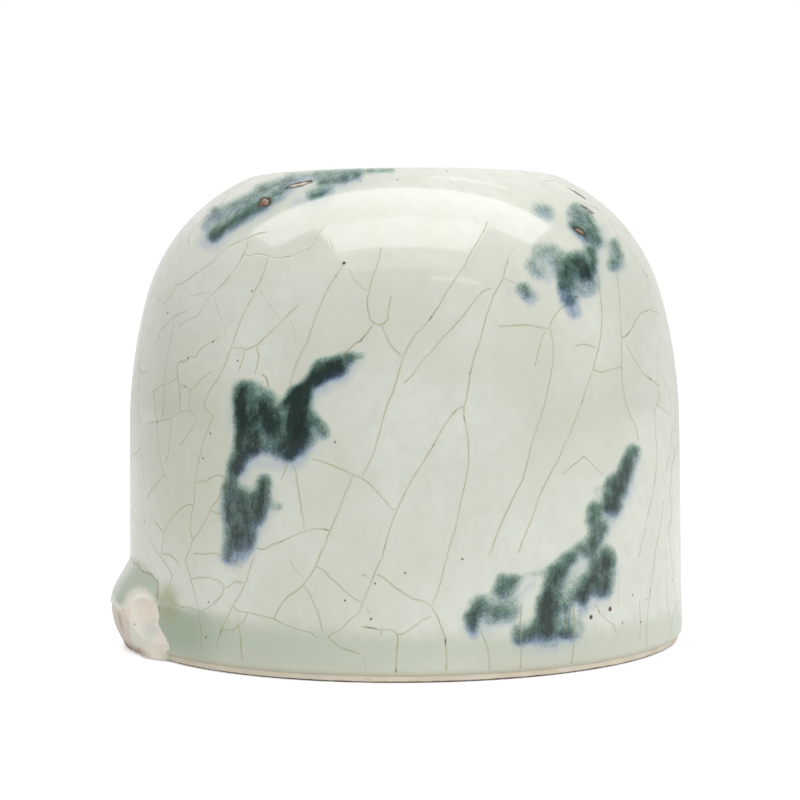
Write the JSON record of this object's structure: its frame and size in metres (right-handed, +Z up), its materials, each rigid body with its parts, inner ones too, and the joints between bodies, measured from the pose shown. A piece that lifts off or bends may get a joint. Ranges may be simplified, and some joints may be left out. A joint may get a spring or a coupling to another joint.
{
  "type": "water coupe",
  "caption": "Small domed porcelain water pot with a round mouth, flat foot ring, crackled pale celadon glaze with dark cobalt splashes, and a snapped lump of clay stuck to its foot.",
  "frame": {"origin": "centre of the foot ring, on the plane that the pot stands on", "axes": "+Z up along the axis of the pot, -Y to the front of the picture, -X to its left"},
  "size_m": [0.0895, 0.088, 0.0725],
  "materials": {
    "biscuit": "bare fired porcelain, warm grey, rough",
    "celadon_glaze": "glossy pale celadon glaze with brown crackle and dark cobalt splashes",
    "clear_glaze": "glossy pale glaze with crackle",
    "broken_biscuit": "broken white porcelain, rough",
    "pooled_glaze": "glossy pooled green glaze"
  },
  "bodies": {
    "root": {"porcelain_body": "biscuit", "outer_glaze": "celadon_glaze", "inner_glaze": "clear_glaze", "base_glaze": "clear_glaze", "kiln_lump": "broken_biscuit", "lump_glaze": "pooled_glaze"}
  },
  "joints": []
}
